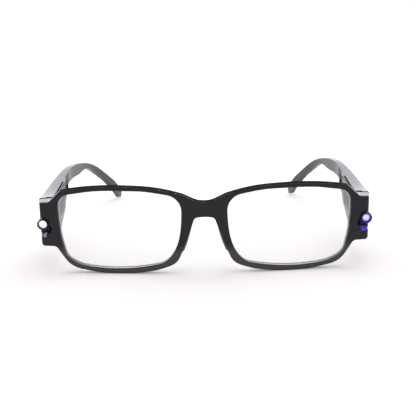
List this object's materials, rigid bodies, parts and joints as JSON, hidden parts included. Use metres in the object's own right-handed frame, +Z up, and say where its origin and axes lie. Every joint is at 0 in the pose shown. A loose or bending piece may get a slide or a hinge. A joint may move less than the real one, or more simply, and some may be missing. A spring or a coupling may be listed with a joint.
{
  "type": "lighted magnifier glasses",
  "caption": "Spectacle-shaped magnifier with clear lenses, folding temples, a small lamp at each endpiece, slide switches and screwed battery covers.",
  "frame": {"origin": "middle of the glasses in plan, at the level of the rims' undersides", "axes": "+X to the wearer's left, the front faces -Y and the arms run back along +Y, +Z up"},
  "size_m": [0.1432, 0.1302, 0.0386],
  "materials": {
    "front_plastic": "satin black",
    "temple_plastic": "satin black",
    "lens_clear": "polished clear",
    "hinge_metal": "nickel plated",
    "screw_metal": "nickel plated",
    "cell_steel": "bright",
    "contact_metal": "plated spring strip",
    "lamp_white": "clear resin",
    "lamp_violet": "clear resin, violet light",
    "sleeve_plastic": "gloss black",
    "wire_cover": "soft insulation",
    "switch_plastic": "matt black",
    "knob_plastic": "matt black"
  },
  "bodies": {
    "front": {"front_frame": "front_plastic", "left_lens": "lens_clear", "left_front_hinge_leaf": "hinge_metal", "left_hinge_screw": "screw_metal", "right_lens": "lens_clear", "right_front_hinge_leaf": "hinge_metal", "right_hinge_screw": "screw_metal"},
    "left_temple": {"left_temple_hinge_leaf": "hinge_metal", "left_temple_shell": "temple_plastic", "left_battery_cover": "temple_plastic", "left_cover_screw": "screw_metal", "left_battery_cell_front": "cell_steel", "left_battery_cell_rear": "cell_steel", "left_negative_contact": "contact_metal", "left_positive_contact": "contact_metal", "left_led": "lamp_violet", "left_led_sleeve": "sleeve_plastic", "left_led_wire": "wire_cover", "left_switch_body": "switch_plastic"},
    "left_knob": {"left_switch_knob": "knob_plastic"},
    "right_temple": {"right_temple_hinge_leaf": "hinge_metal", "right_temple_shell": "temple_plastic", "right_battery_cover": "temple_plastic", "right_cover_screw": "screw_metal", "right_battery_cell_front": "cell_steel", "right_battery_cell_rear": "cell_steel", "right_negative_contact": "contact_metal", "right_positive_contact": "contact_metal", "right_led": "lamp_white", "right_led_sleeve": "sleeve_plastic", "right_led_wire": "wire_cover", "right_switch_body": "switch_plastic"},
    "right_knob": {"right_switch_knob": "knob_plastic"}
  },
  "joints": [
    {"name": "left_temple_fold", "type": "hinge", "parent": "front", "child": "left_temple", "pos_m": [0.0646, -0.05314, 0.02175], "axis": [0, 0, 1], "range_deg": [0, 82]},
    {"name": "left_switch_slide", "type": "slide", "parent": "left_temple", "child": "left_knob", "axis": [0, 1, 0], "range_m": [0, 0.0015]},
    {"name": "right_temple_fold", "type": "hinge", "parent": "front", "child": "right_temple", "pos_m": [-0.0646, -0.05314, 0.02175], "axis": [0, 0, -1], "range_deg": [0, 77]},
    {"name": "right_switch_slide", "type": "slide", "parent": "right_temple", "child": "right_knob", "axis": [0, 1, 0], "range_m": [0, 0.0015]}
  ]
}
